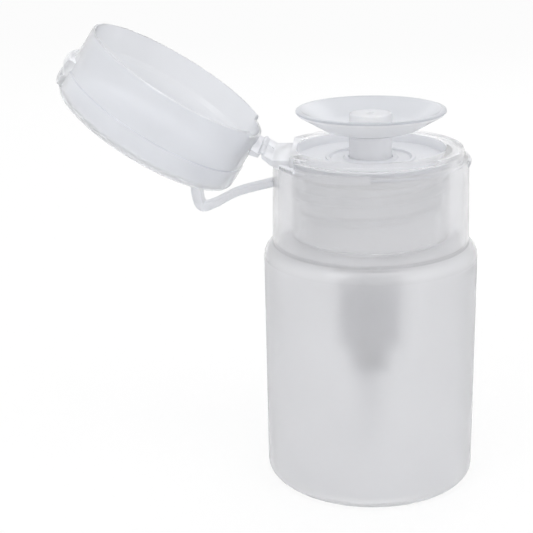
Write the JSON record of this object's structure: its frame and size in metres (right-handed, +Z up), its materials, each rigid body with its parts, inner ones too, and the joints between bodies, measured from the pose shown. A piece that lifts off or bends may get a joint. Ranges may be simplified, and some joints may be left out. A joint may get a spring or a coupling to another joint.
{
  "type": "liquid dispenser bottle",
  "caption": "Small round push-down pump bottle with a saucer-shaped press dish, a screw collar and a flip lid held open by a strap.",
  "frame": {"origin": "middle of the flat base", "axes": "+Z up along the bottle's axis, -X towards the open lid and its hinge, +Y towards the back"},
  "size_m": [0.081, 0.042, 0.091],
  "materials": {
    "frosted_body": "frosted natural polyethylene, milky and translucent",
    "clear_cap": "natural polypropylene, smooth and translucent with a cool tint",
    "pump_plastic": "natural polypropylene, translucent",
    "foam": "white closed-cell polyethylene foam",
    "steel": "bright stainless steel"
  },
  "bodies": {
    "bottle": {"bottle": "frosted_body"},
    "pump_unit": {"pump_housing": "pump_plastic", "neck_gasket": "foam", "guide_ring": "pump_plastic", "dip_tube": "pump_plastic", "return_spring": "steel"},
    "collar": {"collar": "clear_cap", "hinge_web_front": "clear_cap", "hinge_web_back": "clear_cap", "spring_strap": "clear_cap"},
    "lid": {"flip_lid": "clear_cap"},
    "plunger": {"press_dish": "clear_cap", "piston_rod": "pump_plastic", "piston": "pump_plastic"},
    "inlet_ball": {"inlet_ball": "steel"},
    "outlet_ball": {"outlet_ball": "steel"}
  },
  "joints": [
    {"name": "unit_lift", "type": "slide", "parent": "bottle", "child": "pump_unit", "axis": [0, 0, 1], "range_m": [0, 0.00636]},
    {"name": "collar_turn", "type": "hinge", "parent": "pump_unit", "child": "collar", "pos_m": [0, 0, 0.06], "axis": [0, 0, 1], "range_deg": [0, 540]},
    {"name": "lid_hinge", "type": "hinge", "parent": "collar", "child": "lid", "pos_m": [-0.0205, 0, 0.06785], "axis": [0, 1, 0], "range_deg": [0, 147], "deforming": ["hinge_web_front", "hinge_web_back", "spring_strap"]},
    {"name": "pump_press", "type": "slide", "parent": "pump_unit", "child": "plunger", "axis": [0, 0, -1], "range_m": [0, 0.0038], "stiffness_N_per_m": 800, "springref_m": -0.0015, "deforming": ["return_spring"]},
    {"name": "inlet_ball_lift", "type": "slide", "parent": "pump_unit", "child": "inlet_ball", "axis": [0, 0, 1], "range_m": [0, 0.0008]},
    {"name": "outlet_ball_lift", "type": "slide", "parent": "plunger", "child": "outlet_ball", "axis": [0, 0, 1], "range_m": [0, 0.0012]}
  ],
  "couplings": [
    {"joint": "unit_lift", "follows": "collar_turn", "m_per_rad": 0.00067376}
  ]
}
